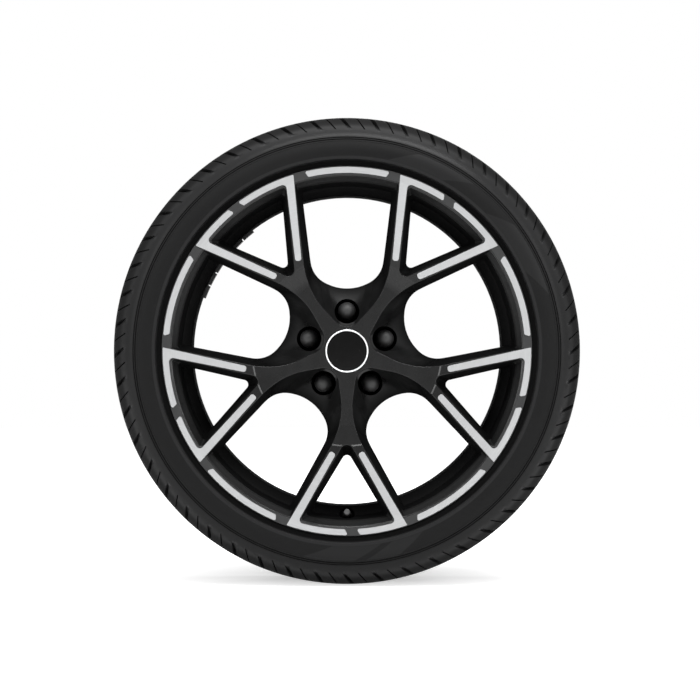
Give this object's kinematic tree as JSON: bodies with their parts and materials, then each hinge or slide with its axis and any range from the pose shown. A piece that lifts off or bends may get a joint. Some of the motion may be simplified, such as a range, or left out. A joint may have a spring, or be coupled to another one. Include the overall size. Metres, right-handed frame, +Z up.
{
  "type": "car wheel",
  "caption": "Car wheel with a low-profile tyre on a black alloy rim whose forked spokes and lip carry bright turned strips; it bolts to a hub.",
  "frame": {"origin": "centre of the wheel: on the axle line, midway between the rim's two flanges", "axes": "+Y along the axle towards the car, so the outer face looks along -Y; +Z up, opposite the valve; +X to the right seen from outside"},
  "size_m": [0.6608, 0.254, 0.6606],
  "materials": {
    "rim": "gloss black paint over the casting, raised strips turned bright",
    "tyre": "moulded black rubber",
    "cap_plastic": "gloss black",
    "chrome_trim": "bright plated",
    "spring_steel": "plain spring wire",
    "bolt_steel": "zinc flake coated",
    "bolt_cap_plastic": "satin black",
    "valve_rubber": "moulded black rubber",
    "valve_brass": "turned",
    "valve_cap_plastic": "satin grey",
    "weight_metal": "grey coated"
  },
  "bodies": {
    "wheel": {"balance_weight_front": "weight_metal", "balance_weight_rear": "weight_metal", "bolt_cap_1": "bolt_cap_plastic", "bolt_cap_2": "bolt_cap_plastic", "bolt_cap_3": "bolt_cap_plastic", "bolt_cap_4": "bolt_cap_plastic", "bolt_cap_5": "bolt_cap_plastic", "bolt_seat_rings": "bolt_steel", "cap_spring_ring": "spring_steel", "cap_trim_ring": "chrome_trim", "centre_cap": "cap_plastic", "rim": "rim", "tyre": "tyre", "valve_body": "valve_rubber", "valve_core": "valve_brass", "valve_stem": "valve_brass", "wheel_bolts": "bolt_steel"},
    "valve_pin": {"valve_pin": "valve_brass"},
    "valve_cap_liner": {"valve_cap_seal": "valve_rubber"},
    "valve_cap": {"valve_cap": "valve_cap_plastic"}
  },
  "joints": [
    {"name": "valve_pin_press", "type": "slide", "parent": "wheel", "child": "valve_pin", "axis": [0, 0.9744, -0.225], "range_m": [0, 0.0012], "stiffness_N_per_m": 300},
    {"name": "valve_cap_lift", "type": "slide", "parent": "wheel", "child": "valve_cap_liner", "axis": [0, -0.9744, 0.225], "range_m": [0, 0.0095]},
    {"name": "valve_cap_turn", "type": "hinge", "parent": "valve_cap_liner", "child": "valve_cap", "pos_m": [0, -0.04969, -0.23297], "axis": [0, -0.9744, 0.225], "range_deg": [0, 4320]}
  ],
  "couplings": [
    {"joint": "valve_cap_turn", "follows": "valve_cap_lift", "rad_per_m": 7913.3}
  ]
}
